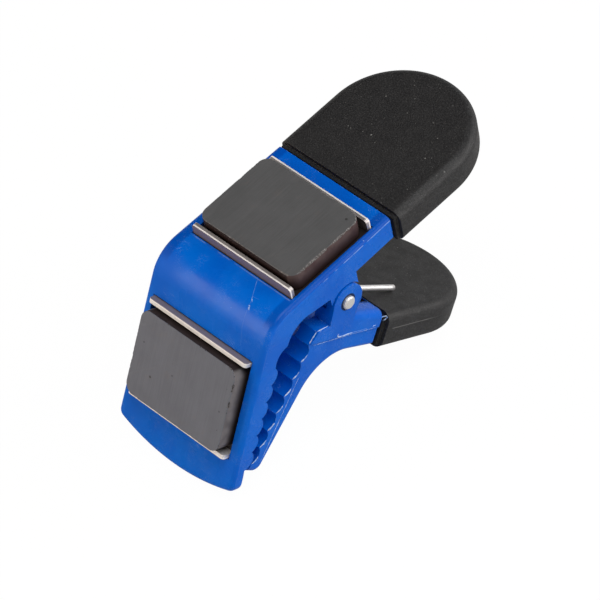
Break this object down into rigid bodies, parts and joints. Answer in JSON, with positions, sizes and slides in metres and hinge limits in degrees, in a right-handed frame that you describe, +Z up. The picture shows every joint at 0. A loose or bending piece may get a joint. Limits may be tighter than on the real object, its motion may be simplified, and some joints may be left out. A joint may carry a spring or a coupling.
{
  "type": "magnetic spring clip",
  "caption": "Sprung plastic clip with rubber grips, toothed jaws and ferrite magnets in steel channels, for holding things to a steel surface.",
  "frame": {"origin": "on the surface that the clip stands on, below the middle of its box", "axes": "+X from the jaws towards the grips, +Y along the pivot pin, +Z up as it stands on its jaw tip and lower grip"},
  "size_m": [0.0922, 0.0376, 0.0573],
  "materials": {
    "blue_plastic": "glossy moulded ABS, finely scratched",
    "blue_plastic_lower": "glossy moulded ABS",
    "grip_rubber": "matte fine-grained rubber",
    "grip_rubber_lower": "matte fine-grained rubber",
    "pin_steel": "satin zinc-plated steel",
    "spring_steel": "bright drawn spring wire",
    "channel_steel": "nickel-plated sheet steel with bright edges",
    "channel_steel_jaw": "nickel-plated sheet steel with bright edges",
    "ferrite": "ground ceramic ferrite with chipped edges",
    "ferrite_jaw": "ground ceramic ferrite with chipped edges"
  },
  "bodies": {
    "upper": {"upper_arm": "blue_plastic", "upper_grip": "grip_rubber", "handle_channel": "channel_steel", "jaw_channel": "channel_steel_jaw", "handle_magnet": "ferrite", "jaw_magnet": "ferrite_jaw", "torsion_spring": "spring_steel"},
    "lower": {"lower_arm": "blue_plastic_lower", "lower_grip": "grip_rubber_lower", "pivot_pin": "pin_steel"}
  },
  "joints": [
    {"name": "jaw_pivot", "type": "hinge", "parent": "upper", "child": "lower", "pos_m": [-0.00708, 0, 0.03613], "axis": [0, -1, 0], "range_deg": [0, 44.6], "stiffness_Nm_per_rad": 0.16, "springref_deg": -51.57, "deforming": ["torsion_spring"]}
  ]
}
